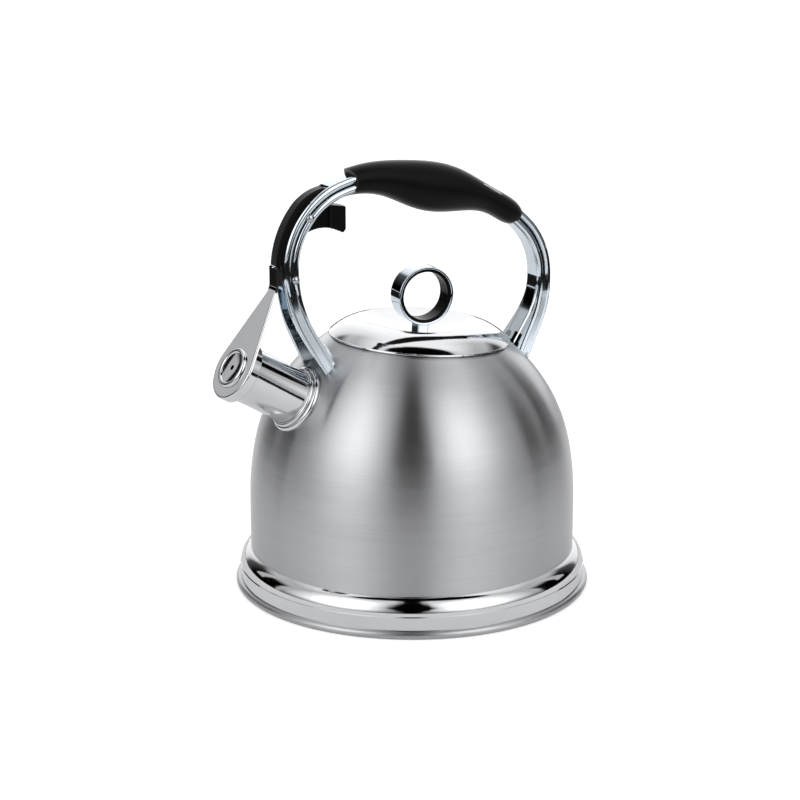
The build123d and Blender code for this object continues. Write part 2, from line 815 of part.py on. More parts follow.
with BuildPart() as link_pin:
    with BuildSketch(Plane.XZ):
        with Locations(link_pin_at):
            Circle(link_pin_radius)
    extrude(amount=hub_half_width, both=True)
save(link_pin, "link_pin")

# ---------------------------------------------------------------- whistle arm
plate_plane = spout_cross_plane(cap_face_reach - plate_thickness)
arm_line_reach = cap_face_reach - plate_thickness / 2
bend_foot = along(along(spout_root, spout_dir, arm_line_reach), plate_dir, arm_reach)
pin_bore = pin_radius + running_clearance

with BuildPart() as lever_arm:
    with BuildSketch(plate_plane):
        Circle(cap_radius)
        with Locations((0, arm_reach - plate_thickness)):
            Rectangle(arm_width, 2 * plate_thickness)
        make_hull()
    extrude(amount=plate_thickness)
    front_edges = lever_arm.faces().sort_by(spout_axis)[-1].edges()
    fillet(front_edges.sort_by(Axis.Z)[:-1], plate_edge)
    with BuildSketch(plate_plane):
        Circle(chamber_radius)
    extrude(amount=plate_thickness, mode=Mode.SUBTRACT)
    with BuildSketch(Plane.XZ):
        with BuildLine():
            bend = JernArc(bend_foot, plate_dir, arm_bend, spout_pitch)
            web = Line(bend @ 1, (bend @ 1) + (bend % 1) * arm_web_length)
        trace(line_width=plate_thickness)
    extrude(amount=arm_width / 2, both=True)
    with BuildSketch(Plane.XZ.offset(arm_width / 2 - arm_flange)) as flange:
        with Locations(lever_pin):
            Circle(ear_radius)
        with Locations(
            tuple(web @ 0)[:2],
            tuple(web @ 1)[:2],
        ):
            Circle(plate_thickness / 2)
        make_hull()
        with Locations(lever_pin):
            Circle(pin_bore, mode=Mode.SUBTRACT)
    extrude(amount=arm_flange)
    mirror(about=Plane.XZ)
save(lever_arm, "lever_arm")

cap_back = cap_face_reach - plate_thickness
with BuildPart() as whistle_cap:
    with BuildSketch(spout_section_plane):
        with BuildLine():
            Polyline(
                (cap_back, whistle_hole_radius),
                (cap_back, cap_radius),
                (cap_back - cap_skirt_depth, cap_radius),
                (cap_back - cap_skirt_depth, cap_radius - cap_sheet_wall),
                (cap_back - cap_sheet_wall, cap_radius - cap_sheet_wall),
                (cap_back - cap_sheet_wall, whistle_hole_radius),
                close=True,
            )
        make_face()
        outer_corner = vertices().sort_by_distance(plate_plane.origin + Vector(0, cap_radius, 0))[0]
        fillet(outer_corner, cap_sheet_wall / 2)
    revolve(axis=spout_axis)
save(whistle_cap, "whistle_cap")

bead_inner = boss_radius - boss_beading
dish_edge = cap_face_reach + boss_height / 2
dish_middle = cap_face_reach + boss_dish
with BuildPart() as whistle_boss:
    with BuildSketch(spout_section_plane):
        with BuildLine():
            ThreePointArc(
                (cap_face_reach, boss_radius),
                (cap_face_reach + boss_height, boss_radius - boss_beading / 2),
                (dish_edge, bead_inner),
            )
            TangentArc(
                (dish_middle, whistle_hole_radius),
                (dish_edge, bead_inner),
                tangent=(0, 1),
            )
            Polyline(
                (dish_middle, whistle_hole_radius),
                (cap_face_reach, whistle_hole_radius),
                (cap_face_reach, boss_radius),
            )
        make_face()
    revolve(axis=spout_axis)
save(whistle_boss, "whistle_boss")

# ---------------------------------------------------------------- trigger
def from_trigger_pin(reach, rise):
    """Point of the XZ plane given from the trigger pin."""
    return (trigger_pin[0] + reach, trigger_pin[1] + rise)


def link_in_trigger(share):
    """Where the link pin sits in the trigger's slot after a share of the full travel."""
    lifted = turned(link_pin_at, lever_pin, -lever_range * share)
    return turned(lifted, trigger_pin, -trigger_range * share)


slot_radius = link_pin_radius + link_clearance
pad_top = from_trigger_pin(pad_near, pad_rise)
pad_far_top = from_trigger_pin(pad_reach, pad_rise - link_clearance * pad_rise)
pad_far_low = from_trigger_pin(pad_reach, -pad_fall)
pad_hook_low = from_trigger_pin(pad_reach - pad_hook, -pad_fall - pad_hook)
waist = from_trigger_pin(pad_reach / 2, -trigger_waist)
trigger_heel = from_trigger_pin(-pad_hook, -pad_fall - pad_hook / 2)

with BuildPart() as trigger:
    with BuildSketch(Plane.XZ) as tail:
        with Locations(trigger_pin):
            Circle(trigger_hub_radius)
        with Locations(link_in_trigger(0), link_in_trigger(1)):
            Circle(slot_radius + trigger_hub_radius / 2)
        make_hull()
    extrude(amount=trigger_thickness / 2, both=True)
    with BuildSketch(Plane.XZ) as blade:
        with BuildLine():
            Line(from_trigger_pin(0, trigger_hub_radius), pad_top)
            Line(pad_top, pad_far_top)
            Line(pad_far_top, pad_far_low)
            Line(pad_far_low, pad_hook_low)
            ThreePointArc(pad_hook_low, waist, trigger_heel)
            Line(trigger_heel, from_trigger_pin(-trigger_hub_radius, 0))
            Line(from_trigger_pin(-trigger_hub_radius, 0), from_trigger_pin(0, trigger_hub_radius))
        make_face()
    extrude(amount=trigger_thickness / 2, both=True)
    with BuildSketch(Plane.XZ):
        add(blade.sketch_local)
        with Locations(from_trigger_pin(pad_near / 2, 0)):
            Rectangle(pad_near, 4 * pad_fall, mode=Mode.SUBTRACT)
        with Locations(trigger_pin):
            Rectangle(pad_near, 4 * pad_fall, mode=Mode.SUBTRACT)
        fillet(vertices().sort_by(Axis.X)[-2:], pad_hook / 2)
    extrude(amount=pad_width / 2, both=True)
    with BuildSketch(Plane.XZ):
        with Locations(trigger_pin):
            Circle(pin_bore)
    extrude(amount=pad_width, both=True, mode=Mode.SUBTRACT)
    with BuildSketch(Plane.XZ):
        with Locations(link_in_trigger(0), link_in_trigger(0.5), link_in_trigger(1)):
            Circle(slot_radius)
        make_hull()
    extrude(amount=pad_width, both=True, mode=Mode.SUBTRACT)
save(trigger, "trigger")

# ---------------------------------------------------------------- lever cover
cover_outside = half_depth + cover_proud
cover_inside = cover_outside - cover_skin
cover_edge = half_depth - side_clearance
tip_outside = half_depth + cover_tip_proud
taper_angle = 0.7 * cover_tip_angle
cheek_half_gap = cheek_gap / 2
link_hub_radius = 2 * link_pin_radius

with BuildPart() as lever_cover:
    with BuildSketch(Plane.XZ):
        with BuildLine():
            Line(on_shoulder(cover_low_angle, cover_edge), on_shoulder(cover_low_angle, cover_outside))
            ThreePointArc(
                on_shoulder(cover_low_angle, cover_outside),
                on_shoulder((cover_low_angle + taper_angle) / 2, cover_outside),
                on_shoulder(taper_angle, cover_outside),
            )
            ThreePointArc(
                on_shoulder(taper_angle, cover_outside),
                on_shoulder((taper_angle + cover_tip_angle) / 2, (2 * cover_outside + tip_outside) / 3),
                on_shoulder(cover_tip_angle, tip_outside),
            )
            Line(on_shoulder(cover_tip_angle, tip_outside), on_shoulder(cover_tip_angle, cover_edge))
            ThreePointArc(
                on_shoulder(cover_tip_angle, cover_edge),
                on_shoulder(cover_tip_angle / 2, cover_edge),
                on_shoulder(cover_low_angle, cover_edge),
            )
        make_face()
    extrude(amount=arm_width / 2, both=True)
    outer_edges = lever_cover.edges().filter_by(GeomType.CIRCLE).filter_by(
        lambda edge: edge.radius > shoulder_arc + cover_inside - cover_skin
    )
    fillet(outer_edges, cover_skin * 0.75)
    # hollow between the cheeks, closed at the tip
    with BuildSketch(Plane.XZ):
        with BuildLine():
            Line(on_shoulder(0, 0), on_shoulder(0, cover_inside))
            ThreePointArc(
                on_shoulder(0, cover_inside),
                on_shoulder(taper_angle / 2, cover_inside),
                on_shoulder(taper_angle, cover_inside),
            )
            Line(on_shoulder(taper_angle, cover_inside), on_shoulder(cover_tip_angle - tip_notch, 0))
            Line(on_shoulder(cover_tip_angle - tip_notch, 0), on_shoulder(0, 0))
        make_face()
    extrude(amount=cheek_half_gap, both=True, mode=Mode.SUBTRACT)
    # cheeks that carry the link pin and hang on the lever pin
    for side in (1, -1):
        with BuildSketch(Plane.XZ.offset(side * cheek_half_gap)):
            with Locations(lever_pin):
                Circle(ear_radius)
            with Locations(
                link_pin_at,
                on_shoulder(cheek_low_angle, cover_inside - link_hub_radius),
                on_shoulder(cheek_high_angle, cover_inside - link_hub_radius),
            ):
                Circle(link_hub_radius)
            make_hull()
        extrude(amount=side * (hub_half_width - cheek_half_gap))
    with BuildSketch(Plane.XZ):
        with Locations(lever_pin):
            Circle(pin_bore)
        with Locations(link_pin_at):
            Circle(link_pin_radius)
    extrude(amount=arm_width, both=True, mode=Mode.SUBTRACT)
    # the cheeks come down astride the trigger's pin when the lever swings
    with BuildSketch(Plane.XZ):
        with Locations(trigger_pin, turned(trigger_pin, lever_pin, lever_range)):
            Circle(pin_radius + side_clearance)
        make_hull()
    extrude(amount=arm_width, both=True, mode=Mode.SUBTRACT)
    add(lever_arm.part, mode=Mode.SUBTRACT)
save(lever_cover, "lever_cover")

# ---------------------------------------------------------------- return spring
coil_radius = pin_radius + spring_wire / 2 + side_clearance / 2
skin_rest = on_shoulder(2 * cover_low_angle, cover_inside - spring_wire / 2)
floor_rest = polar(
    leg_arc_centre,
    front_leg_arc + channel_floor + spring_wire / 2,
    180 + slot_low_angle + cover_low_angle / 2,
)


def leg_to(target, sense):
    """Angle where a straight leg leaves the coil for a target, and the leg's length."""
    reach = hypot(target[0] - lever_pin[0], target[1] - lever_pin[1])
    heading = degrees(atan2(target[1] - lever_pin[1], target[0] - lever_pin[0]))
    return heading + sense * degrees(acos(coil_radius / reach)), sqrt(reach**2 - coil_radius**2)


skin_leg_angle, skin_leg_length = leg_to(skin_rest, 1)
floor_leg_angle, floor_leg_length = leg_to(floor_rest, -1)
coil_turns = spring_turns + (floor_leg_angle - skin_leg_angle) / 360
coil_length = coil_turns * spring_pitch

coil_place = Plane(
    origin=(lever_pin[0], coil_length / 2, lever_pin[1]),
    x_dir=(cos(radians(skin_leg_angle)), 0, sin(radians(skin_leg_angle))),
    z_dir=(0, -1, 0),
)

with BuildPart() as upright_spring:
    with BuildLine() as wire_line:
        coil = Helix(spring_pitch, coil_length, coil_radius)
        Line(coil @ 0, (coil @ 0) - Vector(0, skin_leg_length, 0))
        floor_leg = Vector(0, floor_leg_length, 0).rotate(Axis.Z, 360 * coil_turns)
        Line(coil @ 1, (coil @ 1) + floor_leg)
    spring_line = wire_line.wire()
    with BuildSketch(Plane(origin=spring_line @ 0, z_dir=spring_line % 0)):
        Circle(spring_wire / 2)
    sweep(path=spring_line)

with BuildPart() as return_spring:
    add(upright_spring.part.moved(coil_place.location))
save(return_spring, "return_spring")

# ---------------------------------------------------------------- lid
# Heights on the lid are measured up its own axis from the middle of its rolled rim.
lid_forward = mouth_frame.x_dir * cos(radians(lid_turn)) + mouth_frame.y_dir * sin(radians(lid_turn))
lid_frame = Plane(mouth_frame.origin, x_dir=lid_forward, z_dir=mouth_frame.z_dir)
lid_side = Plane(lid_frame.origin, x_dir=lid_frame.x_dir, z_dir=-lid_frame.y_dir)
lid_dish = lid_ridge_rise - lid_dish_depth


def lid_section(inset):
    """Closed half section of all that lies under the lid's surface, moved in by inset."""
    edge = (lid_radius - inset, 0)
    ridge = (lid_ridge_radius, lid_ridge_rise - inset)
    crown_shift = hypot(edge[0] - ridge[0], ridge[1] - edge[1])
    crown = (
        (edge[0] + ridge[0]) / 2 + lid_annulus_crown * (ridge[1] - edge[1]) / crown_shift,
        (edge[1] + ridge[1]) / 2 + lid_annulus_crown * (edge[0] - ridge[0]) / crown_shift,
    )
    with BuildSketch(lid_side) as section:
        with BuildLine():
            Line((0, -collar_depth), (edge[0], -collar_depth))
            Line((edge[0], -collar_depth), edge)
            ThreePointArc(edge, crown, ridge)
            TangentArc((0, lid_dish - inset), ridge, tangent=(1, 0))
            Line((0, lid_dish - inset), (0, -collar_depth))
        make_face()
    return section.sketch


with BuildPart() as under_lid:
    revolve(lid_section(sheet), mouth_axis)

with BuildPart() as lid_shell:
    revolve(lid_section(0), mouth_axis)
    add(under_lid.part, mode=Mode.SUBTRACT)
    with BuildSketch(lid_frame.offset(-collar_depth)):
        Circle(2 * lid_radius)
    extrude(amount=collar_depth, mode=Mode.SUBTRACT)
    # the rim is rolled to a round bead
    with BuildSketch(lid_side):
        with Locations((rim_seat, 0)):
            Circle(rim_bead)
    revolve(axis=mouth_axis)
    with BuildSketch(lid_frame):
        Circle(lid_screw_radius)
    extrude(amount=lid_ridge_rise, mode=Mode.SUBTRACT)
save(lid_shell, "lid_shell")

collar_radius = neck_radius - collar_clearance
with BuildPart() as lid_collar:
    with BuildSketch(lid_frame.offset(-collar_depth)):
        Circle(collar_radius)
        Circle(collar_radius - sheet, mode=Mode.SUBTRACT)
    extrude(amount=collar_depth + lid_ridge_rise)
    add(under_lid.part, mode=Mode.INTERSECT)
save(lid_collar, "lid_collar")

knob_centre = (0, lid_dish + post_height + knob_outer_radius)
with BuildPart() as knob_ring:
    with BuildSketch(lid_side):
        with Locations(knob_centre):
            Circle(knob_outer_radius)
            Circle(knob_outer_radius - knob_shell_wall, mode=Mode.SUBTRACT)
    extrude(amount=knob_length / 2, both=True)
    fillet(knob_ring.edges(), knob_shell_wall / 3)
save(knob_ring, "knob_ring")

liner_outer = knob_outer_radius - knob_shell_wall
with BuildPart() as knob_liner:
    with BuildSketch(lid_side):
        with Locations(knob_centre):
            Circle(liner_outer)
            Circle(liner_outer - knob_liner_wall, mode=Mode.SUBTRACT)
    extrude(amount=(knob_length - knob_shell_wall) / 2, both=True)
    fillet(knob_liner.edges(), knob_liner_wall / 4)
save(knob_liner, "knob_liner")

with BuildPart() as knob_post:
    with BuildSketch(lid_frame.offset(lid_dish - sheet / 2)):
        RectangleRounded(post_width, post_length, post_width / 8)
    extrude(amount=knob_outer_radius)
    with BuildSketch(lid_side):
        with Locations(knob_centre):
            Circle(knob_outer_radius)
    extrude(amount=knob_length, both=True, mode=Mode.SUBTRACT)
    revolve(lid_section(0), mouth_axis, mode=Mode.SUBTRACT)
    with BuildSketch(lid_frame.offset(lid_dish - sheet)):
        Circle(lid_screw_radius)
    extrude(amount=sheet + post_height - post_roof, mode=Mode.SUBTRACT)
save(knob_post, "knob_post")

washer_top = lid_dish - sheet
with BuildPart() as knob_washer:
    with BuildSketch(lid_frame.offset(washer_top - washer_thickness)):
        Circle(washer_radius)
        Circle(lid_screw_radius, mode=Mode.SUBTRACT)
    extrude(amount=washer_thickness)
save(knob_washer, "knob_washer")

with BuildPart() as knob_screw:
    with BuildSketch(lid_frame.offset(washer_top - washer_thickness)):
        Circle(lid_screw_radius)
    extrude(amount=washer_thickness + sheet + post_height - post_roof)
    with BuildSketch(lid_frame.offset(washer_top - washer_thickness - lid_screw_head_height)):
        Circle(lid_screw_head_radius)
    extrude(amount=lid_screw_head_height)
    fillet(knob_screw.faces().sort_by(mouth_axis)[0].edges(), lid_screw_head_height / 2)
    with BuildSketch(lid_frame.offset(washer_top - washer_thickness - lid_screw_head_height)):
        Rectangle(2 * lid_screw_radius, screw_slot)
        Rectangle(screw_slot, 2 * lid_screw_radius)
    extrude(amount=lid_screw_head_height / 2, mode=Mode.SUBTRACT)
save(knob_screw, "knob_screw")
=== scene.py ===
import json
from math import cos, pi, radians, sin, sqrt

import bmesh
import bpy
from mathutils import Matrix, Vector


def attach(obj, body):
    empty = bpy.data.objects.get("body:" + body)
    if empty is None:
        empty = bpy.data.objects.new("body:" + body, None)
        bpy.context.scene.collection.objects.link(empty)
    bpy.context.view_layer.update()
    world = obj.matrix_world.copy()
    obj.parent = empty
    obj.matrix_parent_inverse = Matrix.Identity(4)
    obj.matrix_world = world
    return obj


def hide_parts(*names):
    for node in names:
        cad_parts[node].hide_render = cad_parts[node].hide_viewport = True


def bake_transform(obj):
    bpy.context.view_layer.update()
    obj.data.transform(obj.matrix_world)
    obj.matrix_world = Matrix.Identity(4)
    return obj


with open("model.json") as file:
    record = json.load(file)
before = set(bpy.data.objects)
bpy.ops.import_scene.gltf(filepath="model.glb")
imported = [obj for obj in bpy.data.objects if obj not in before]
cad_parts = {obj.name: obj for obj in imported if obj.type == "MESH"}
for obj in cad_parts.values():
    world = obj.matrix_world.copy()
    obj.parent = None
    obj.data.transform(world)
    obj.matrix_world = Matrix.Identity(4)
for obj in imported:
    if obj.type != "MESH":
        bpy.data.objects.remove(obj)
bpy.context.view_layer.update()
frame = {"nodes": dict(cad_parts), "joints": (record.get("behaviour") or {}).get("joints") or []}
nodes = frame["nodes"]
scene = bpy.context.scene

MM = 1000.0                    # millimetres in a metre, for the scale of the patterns


# ------------------------------------------------------------------ small helpers
def linear(hex_colour):
    """An sRGB hex colour as linear red, green, blue and a full alpha."""
    channels = [int(hex_colour[i : i + 2], 16) / 255 for i in (1, 3, 5)]
    turned = [c / 12.92 if c <= 0.04045 else ((c + 0.055) / 1.055) ** 2.4 for c in channels]
    return (*turned, 1.0)


def add_node(tree, kind, inputs=None, **settings):
    """Adds one node, with its settings, and with a value or a link for each input named."""
    made = tree.nodes.new("ShaderNode" + kind)
    for name, value in settings.items():
        setattr(made, name, value)
    for name, value in (inputs or {}).items():
        if isinstance(value, bpy.types.NodeSocket):
            tree.links.new(value, made.inputs[name])
        else:
            made.inputs[name].default_value = value
    return made


def empty_material(name):
    """A named material with no nodes yet."""
    material = bpy.data.materials.new(name)
    material.use_nodes = True
    material.node_tree.nodes.clear()
    return material, material.node_tree


def shades(tree, pattern, dark, light, smooth, coarse):
    """Colour and roughness that follow one pattern, from dark and smooth to light and coarse."""
    colour = add_node(
        tree, "Mix", {0: pattern, 6: linear(dark), 7: linear(light)}, data_type="RGBA"
    ).outputs[2]
    rough = add_node(
        tree, "MapRange", {"Value": pattern, "To Min": smooth, "To Max": coarse}
    ).outputs["Result"]
    return colour, rough


def piece_from(form, name, material):
    """An object at the origin, from a finished bmesh and with its material."""
    mesh = bpy.data.meshes.new(name)
    form.to_mesh(mesh)
    form.free()
    mesh.materials.append(material)
    piece = bpy.data.objects.new(name, mesh)
    scene.collection.objects.link(piece)
    return piece


# ------------------------------------------------------------------ finishes
def brushed_stainless():
    """Stainless sheet brushed round the vessel: fine level lines, light in tall soft bands."""
    material, tree = empty_material("brushed_stainless")
    place = add_node(tree, "TexCoord").outputs["Object"]
    axes = add_node(tree, "SeparateXYZ", {0: place}).outputs
    flat = add_node(tree, "CombineXYZ", {0: axes[0], 1: axes[1]}).outputs[0]
    radius = add_node(tree, "VectorMath", {0: flat}, operation="LENGTH").outputs["Value"]
    # height less radius, so the lines keep their spacing where the dome turns over
    up = add_node(tree, "Math", {0: axes[2], 1: radius}, operation="SUBTRACT").outputs[0]
    spot = add_node(tree, "CombineXYZ", {0: axes[0], 1: axes[1], 2: up}).outputs[0]
    # brush lines 0.9 mm apart and about 40 mm long; the real ones are finer than shows
    lines = add_node(
        tree, "Mapping", {"Vector": spot, "Scale": (MM / 40, MM / 40, MM / 0.9)}
    ).outputs[0]
    brush = add_node(
        tree, "TexNoise", {"Vector": lines, "Scale": 1.0, "Detail": 3.0, "Roughness": 0.6}
    ).outputs["Fac"]
    # passes of the brush 9 mm wide
    passes = add_node(
        tree, "Mapping", {"Vector": spot, "Scale": (MM / 90, MM / 90, MM / 9)}
    ).outputs[0]
    belt = add_node(
        tree, "TexNoise", {"Vector": passes, "Scale": 1.0, "Detail": 1.0}
    ).outputs["Fac"]
    both = add_node(tree, "Mix", {0: 0.35, 2: brush, 3: belt}).outputs[0]
    colour, rough = shades(tree, both, "#ACADAF", "#C6C7C9", 0.25, 0.33)
    groove = add_node(
        tree, "Bump", {"Height": brush, "Distance": 0.02 / MM, "Strength": 0.3}
    ).outputs[0]
    along = add_node(tree, "Tangent", direction_type="RADIAL", axis="Z").outputs[0]
    shader = add_node(
        tree,
        "BsdfPrincipled",
        {
            "Base Color": colour,
            "Metallic": 1.0,
            "Roughness": rough,
            "Anisotropic": 1.0,
            "Anisotropic Rotation": 0.25,
            "Tangent": along,
            "Normal": groove,
        },
    )
    add_node(tree, "OutputMaterial", {"Surface": shader.outputs[0]})
    return material


def polished_stainless():
    """Buffed stainless: a mirror, with the faint haze and wander of the buffing wheel."""
    material, tree = empty_material("polished_stainless")
    place = add_node(tree, "TexCoord").outputs["Object"]
    # haze in patches of 18 mm, and a wave of 9 mm that bends the reflections a little
    haze = add_node(
        tree, "TexNoise", {"Vector": place, "Scale": MM / 18, "Detail": 2.0}
    ).outputs["Fac"]
    wave = add_node(
        tree, "TexNoise", {"Vector": place, "Scale": MM / 9, "Detail": 1.0}
    ).outputs["Fac"]
    colour, rough = shades(tree, haze, "#CDCED0", "#DADBDD", 0.04, 0.1)
    bent = add_node(
        tree, "Bump", {"Height": wave, "Distance": 0.01 / MM, "Strength": 0.5}
    ).outputs[0]
    shader = add_node(
        tree,
        "BsdfPrincipled",
        {"Base Color": colour, "Metallic": 1.0, "Roughness": rough, "Normal": bent},
    )
    add_node(tree, "OutputMaterial", {"Surface": shader.outputs[0]})
    return material


def turned_steel():
    """Base plate of ferritic steel, left with the fine rings of the lathe."""
    material, tree = empty_material("turned_steel")
    place = add_node(tree, "TexCoord").outputs["Object"]
    axes = add_node(tree, "SeparateXYZ", {0: place}).outputs
    flat = add_node(tree, "CombineXYZ", {0: axes[0], 1: axes[1]}).outputs[0]
    radius = add_node(tree, "VectorMath", {0: flat}, operation="LENGTH").outputs["Value"]
    spot = add_node(tree, "CombineXYZ", {0: axes[0], 1: axes[1], 2: radius}).outputs[0]
    # rings 0.8 mm apart that fade and return over 70 mm
    lines = add_node(
        tree, "Mapping", {"Vector": spot, "Scale": (MM / 70, MM / 70, MM / 0.8)}
    ).outputs[0]
    rings = add_node(
        tree, "TexNoise", {"Vector": lines, "Scale": 1.0, "Detail": 2.0}
    ).outputs["Fac"]
    colour, rough = shades(tree, rings, "#9FA0A2", "#C0C1C3", 0.26, 0.42)
    groove = add_node(
        tree, "Bump", {"Height": rings, "Distance": 0.03 / MM, "Strength": 0.8}
    ).outputs[0]
    along = add_node(tree, "Tangent", direction_type="RADIAL", axis="Z").outputs[0]
    shader = add_node(
        tree,
        "BsdfPrincipled",
        {
            "Base Color": colour,
            "Metallic": 1.0,
            "Roughness": rough,
            "Anisotropic": 0.7,
            "Anisotropic Rotation": 0.25,
            "Tangent": along,
            "Normal": groove,
        },
    )
    add_node(tree, "OutputMaterial", {"Surface": shader.outputs[0]})
    return material


def bright_chrome():
    """Chrome plate on a die casting: cool, deep black and white, with a slight orange peel."""
    material, tree = empty_material("bright_chrome")
    place = add_node(tree, "TexCoord").outputs["Object"]
    # the casting under the plate rolls gently over 7 mm
    peel = add_node(
        tree, "TexNoise", {"Vector": place, "Scale": MM / 7, "Detail": 1.0}
    ).outputs["Fac"]
    haze = add_node(
        tree, "TexNoise", {"Vector": place, "Scale": MM / 14, "Detail": 2.0}
    ).outputs["Fac"]
    colour, rough = shades(tree, haze, "#CBD5DD", "#DAE2E9", 0.04, 0.09)
    rolled = add_node(
        tree, "Bump", {"Height": peel, "Distance": 0.01 / MM, "Strength": 0.5}
    ).outputs[0]
    shader = add_node(
        tree,
        "BsdfPrincipled",
        {"Base Color": colour, "Metallic": 1.0, "Roughness": rough, "Normal": rolled},
    )
    add_node(tree, "OutputMaterial", {"Surface": shader.outputs[0]})
    return material


def zinc_steel():
    """Zinc plated pins and screws, finely speckled and duller than the chrome."""
    material, tree = empty_material("zinc_steel")
    place = add_node(tree, "TexCoord").outputs["Object"]
    # crystals of the plate, drawn at 0.8 mm
    speck = add_node(
        tree, "TexNoise", {"Vector": place, "Scale": MM / 0.8, "Detail": 2.0}
    ).outputs["Fac"]
    colour, rough = shades(tree, speck, "#AEB0B4", "#CACCD0", 0.16, 0.3)
    shader = add_node(
        tree, "BsdfPrincipled", {"Base Color": colour, "Metallic": 1.0, "Roughness": rough}
    )
    add_node(tree, "OutputMaterial", {"Surface": shader.outputs[0]})
    return material


def spring_wire():
    """Hard drawn music wire with a dark oiled skin."""
    material, tree = empty_material("spring_wire")
    place = add_node(tree, "TexCoord").outputs["Object"]
    # blotches of oil about 1.5 mm across
    blotch = add_node(
        tree, "TexNoise", {"Vector": place, "Scale": MM / 1.5, "Detail": 2.0}
    ).outputs["Fac"]
    colour, rough = shades(tree, blotch, "#5F6165", "#85878B", 0.24, 0.42)
    shader = add_node(
        tree, "BsdfPrincipled", {"Base Color": colour, "Metallic": 1.0, "Roughness": rough}
    )
    add_node(tree, "OutputMaterial", {"Surface": shader.outputs[0]})
    return material


def pressed_aluminium():
    """Pressed aluminium heat core: pale, dull and slightly mottled."""
    material, tree = empty_material("pressed_aluminium")
    place = add_node(tree, "TexCoord").outputs["Object"]
    # mottle of the pressing, 3 mm across
    mottle = add_node(
        tree, "TexNoise", {"Vector": place, "Scale": MM / 3, "Detail": 3.0}
    ).outputs["Fac"]
    colour, rough = shades(tree, mottle, "#A3A5A7", "#C2C4C6", 0.38, 0.55)
    dull = add_node(
        tree, "Bump", {"Height": mottle, "Distance": 0.05 / MM, "Strength": 0.6}
    ).outputs[0]
    shader = add_node(
        tree,
        "BsdfPrincipled",
        {"Base Color": colour, "Metallic": 1.0, "Roughness": rough, "Normal": dull},
    )
    add_node(tree, "OutputMaterial", {"Surface": shader.outputs[0]})
    return material


def satin_phenolic():
    """Compression moulded phenolic: near black, with a very fine grain and a satin sheen.

    Its grain scatters most of the mirror's light, so the specular level is low, and the sheen
    gives the paler band where it turns away from the eye.
    """
    material, tree = empty_material("satin_phenolic")
    place = add_node(tree, "TexCoord").outputs["Object"]
    # grain of the mould, drawn at 0.5 mm, and a gloss that drifts over 20 mm
    mould = add_node(
        tree, "TexNoise", {"Vector": place, "Scale": MM / 0.5, "Detail": 2.0}
    ).outputs["Fac"]
    drift = add_node(
        tree, "TexNoise", {"Vector": place, "Scale": MM / 20, "Detail": 1.0}
    ).outputs["Fac"]
    colour, rough = shades(tree, drift, "#030304", "#070708", 0.3, 0.4)
    fine = add_node(
        tree, "Bump", {"Height": mould, "Distance": 0.015 / MM, "Strength": 0.5}
    ).outputs[0]
    shader = add_node(
        tree,
        "BsdfPrincipled",
        {
            "Base Color": colour,
            "Roughness": rough,
            "IOR": 1.5,
            "Specular IOR Level": 0.07,
            "Sheen Weight": 0.5,
            "Sheen Roughness": 0.35,
            "Normal": fine,
        },
    )
    add_node(tree, "OutputMaterial", {"Surface": shader.outputs[0]})
    return material


def gloss_phenolic():
    """The knob's moulded liner: black, smoother and glossier than the grip."""
    material, tree = empty_material("gloss_phenolic")
    place = add_node(tree, "TexCoord").outputs["Object"]
    # faint flow marks of the moulding, 6 mm apart
    flow = add_node(
        tree, "TexNoise", {"Vector": place, "Scale": MM / 6, "Detail": 2.0}
    ).outputs["Fac"]
    colour, rough = shades(tree, flow, "#040405", "#08080A", 0.2, 0.3)
    shader = add_node(
        tree,
        "BsdfPrincipled",
        {"Base Color": colour, "Roughness": rough, "IOR": 1.5, "Specular IOR Level": 0.08},
    )
    add_node(tree, "OutputMaterial", {"Surface": shader.outputs[0]})
    return material


finishes = {
    brushed_stainless(): ("body_shell", "base_pan", "lid_collar"),
    polished_stainless(): (
        "base_skirt",
        "spout_tube",
        "spout_collar",
        "lever_arm",
        "whistle_cap",
        "whistle_boss",
        "lid_shell",
    ),
    turned_steel(): ("base_cap",),
    bright_chrome(): (
        "handle_frame",
        "front_bracket",
        "rear_bracket",
        "knob_post",
        "knob_ring",
    ),
    zinc_steel(): (
        "bracket_screws",
        "trigger_pin",
        "lever_pin",
        "link_pin",
        "knob_washer",
        "knob_screw",
    ),
    spring_wire(): ("return_spring",),
    pressed_aluminium(): ("base_core",),
    satin_phenolic(): ("grip", "lever_cover", "trigger"),
    gloss_phenolic(): ("knob_liner",),
}
for finish, names in finishes.items():
    for name in names:
        nodes[name].data.materials.clear()
        nodes[name].data.materials.append(finish)


# ------------------------------------------------------------------ drawn wires
WIRE_SIDES = 5                 # steps of a wire's roundness, each way
WIRE_STEPS = 12                # steps along it between two of its points
WELD = 0.001 / MM              # points of a wire closer than this are one


def drawn_wire(name, points, radius, material):
    """A round wire or bead along a smooth line; each point gives x, y, z and its taper."""
    line = bpy.data.curves.new(name, "CURVE")
    line.dimensions = "3D"
    line.bevel_depth = radius
    line.bevel_resolution = WIRE_SIDES
    line.resolution_u = WIRE_STEPS
    line.use_fill_caps = True
    spline = line.splines.new("NURBS")
    spline.points.add(len(points) - 1)
    for point, (x, y, z, taper) in zip(spline.points, points):
        point.co = (x, y, z, 1.0)
        point.radius = taper
    spline.order_u = 3
    spline.use_endpoint_u = True
    drawn = bpy.data.objects.new(name + "_line", line)
    scene.collection.objects.link(drawn)
    bpy.context.view_layer.update()
    skin = bpy.data.meshes.new_from_object(drawn)
    bpy.data.objects.remove(drawn)
    form = bmesh.new()
    form.from_mesh(skin)
    bpy.data.meshes.remove(skin)
    bmesh.ops.remove_doubles(form, verts=form.verts, dist=WELD)
    bmesh.ops.recalc_face_normals(form, faces=form.faces)
    for face in form.faces:
        face.smooth = True
    return piece_from(form, name, material)


